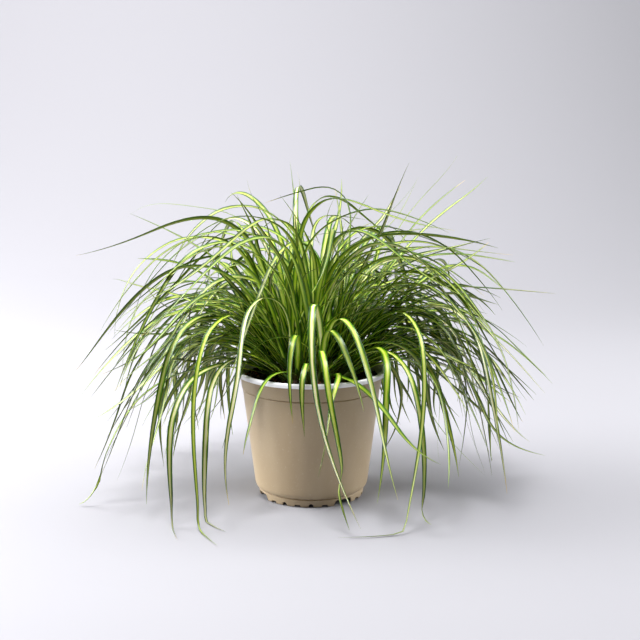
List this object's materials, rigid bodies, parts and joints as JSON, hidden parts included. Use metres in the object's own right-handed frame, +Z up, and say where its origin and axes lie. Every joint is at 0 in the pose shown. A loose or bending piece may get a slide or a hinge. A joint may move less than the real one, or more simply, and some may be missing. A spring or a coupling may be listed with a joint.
{
  "type": "potted carex sedge",
  "caption": "Tuft of long, narrow, arching variegated sedge blades growing in soil in a round tapered plastic nursery pot with a turned-down rim.",
  "frame": {"origin": "middle of the pot's foot, on the surface that the pot stands on", "axes": "+Z up along the pot's axis; -Y is the plant's front, where blades hang over the rim; +X to the right seen from the front"},
  "size_m": [0.403, 0.3431, 0.2871],
  "materials": {
    "pot_plastic": "satin",
    "peat": "matte",
    "sedge_leaf": "satin"
  },
  "bodies": {
    "root": {"pot": "pot_plastic", "potting_soil": "peat", "leafy_shoot_01": "sedge_leaf", "leafy_shoot_02": "sedge_leaf", "leafy_shoot_03": "sedge_leaf", "leafy_shoot_04": "sedge_leaf", "leafy_shoot_05": "sedge_leaf", "leafy_shoot_06": "sedge_leaf", "leafy_shoot_07": "sedge_leaf", "leafy_shoot_08": "sedge_leaf", "leafy_shoot_09": "sedge_leaf", "leafy_shoot_10": "sedge_leaf", "leafy_shoot_11": "sedge_leaf", "leafy_shoot_12": "sedge_leaf", "leafy_shoot_13": "sedge_leaf", "leafy_shoot_14": "sedge_leaf", "leafy_shoot_15": "sedge_leaf", "leafy_shoot_16": "sedge_leaf", "leafy_shoot_17": "sedge_leaf", "leafy_shoot_18": "sedge_leaf", "leafy_shoot_19": "sedge_leaf", "leafy_shoot_20": "sedge_leaf", "leafy_shoot_21": "sedge_leaf", "leafy_shoot_22": "sedge_leaf", "leafy_shoot_23": "sedge_leaf", "leafy_shoot_24": "sedge_leaf", "leafy_shoot_25": "sedge_leaf", "leafy_shoot_26": "sedge_leaf", "leafy_shoot_27": "sedge_leaf", "leafy_shoot_28": "sedge_leaf", "leafy_shoot_29": "sedge_leaf", "leafy_shoot_30": "sedge_leaf", "leafy_shoot_31": "sedge_leaf", "leafy_shoot_32": "sedge_leaf", "leafy_shoot_33": "sedge_leaf", "leafy_shoot_34": "sedge_leaf", "leafy_shoot_35": "sedge_leaf", "leafy_shoot_36": "sedge_leaf", "leafy_shoot_37": "sedge_leaf", "leafy_shoot_38": "sedge_leaf", "leafy_shoot_39": "sedge_leaf", "leafy_shoot_40": "sedge_leaf", "leafy_shoot_41": "sedge_leaf", "leafy_shoot_42": "sedge_leaf", "leafy_shoot_43": "sedge_leaf", "leafy_shoot_44": "sedge_leaf", "leafy_shoot_45": "sedge_leaf", "leafy_shoot_46": "sedge_leaf"}
  },
  "joints": []
}
